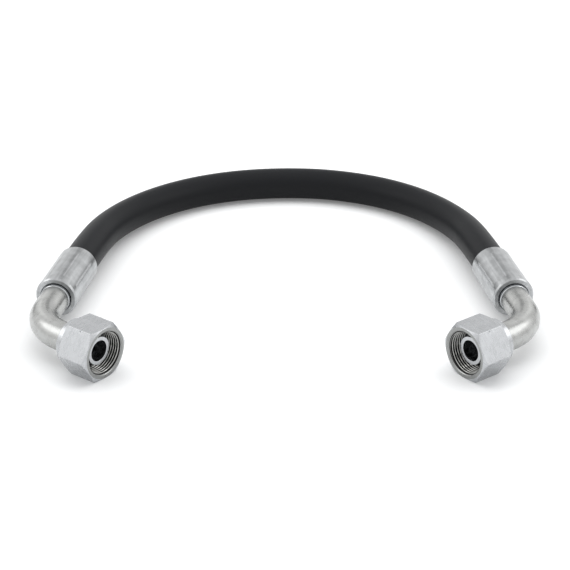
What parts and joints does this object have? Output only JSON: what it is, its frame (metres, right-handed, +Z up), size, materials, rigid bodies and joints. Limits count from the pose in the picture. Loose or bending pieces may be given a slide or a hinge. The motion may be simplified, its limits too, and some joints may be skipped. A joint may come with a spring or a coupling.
{
  "type": "hydraulic hose assembly",
  "caption": "Arched rubber hydraulic hose, crimped at both ends to bent steel elbows with hexagonal swivel nuts and cone seals.",
  "frame": {"origin": "on the floor, midway between the two end fittings", "axes": "+X from the left fitting to the right one, +Y towards the hose's arch, +Z up"},
  "size_m": [0.3458, 0.3212, 0.036],
  "materials": {
    "cover_rubber": "matt",
    "seal_rubber": "smooth",
    "spring_wire": "drawn",
    "zinc_plated_steel": "zinc plated, satin"
  },
  "bodies": {
    "hose_line": {"hose": "cover_rubber", "left_ferrule": "zinc_plated_steel", "left_hose_insert": "zinc_plated_steel", "left_elbow_tube": "zinc_plated_steel", "left_cone_nose": "zinc_plated_steel", "left_seal_ring": "seal_rubber", "left_nut_wire": "spring_wire", "right_ferrule": "zinc_plated_steel", "right_hose_insert": "zinc_plated_steel", "right_elbow_tube": "zinc_plated_steel", "right_cone_nose": "zinc_plated_steel", "right_seal_ring": "seal_rubber", "right_nut_wire": "spring_wire"},
    "left_nut": {"left_swivel_nut": "zinc_plated_steel"},
    "right_nut": {"right_swivel_nut": "zinc_plated_steel"}
  },
  "joints": [
    {"name": "left_nut_swivel", "type": "hinge", "parent": "hose_line", "child": "left_nut", "pos_m": [-0.12539, -0.05154, 0.018], "axis": [0.8018, -0.5976, 0], "continuous": true},
    {"name": "right_nut_swivel", "type": "hinge", "parent": "hose_line", "child": "right_nut", "pos_m": [0.12539, -0.05154, 0.018], "axis": [-0.8018, -0.5976, 0], "continuous": true}
  ]
}
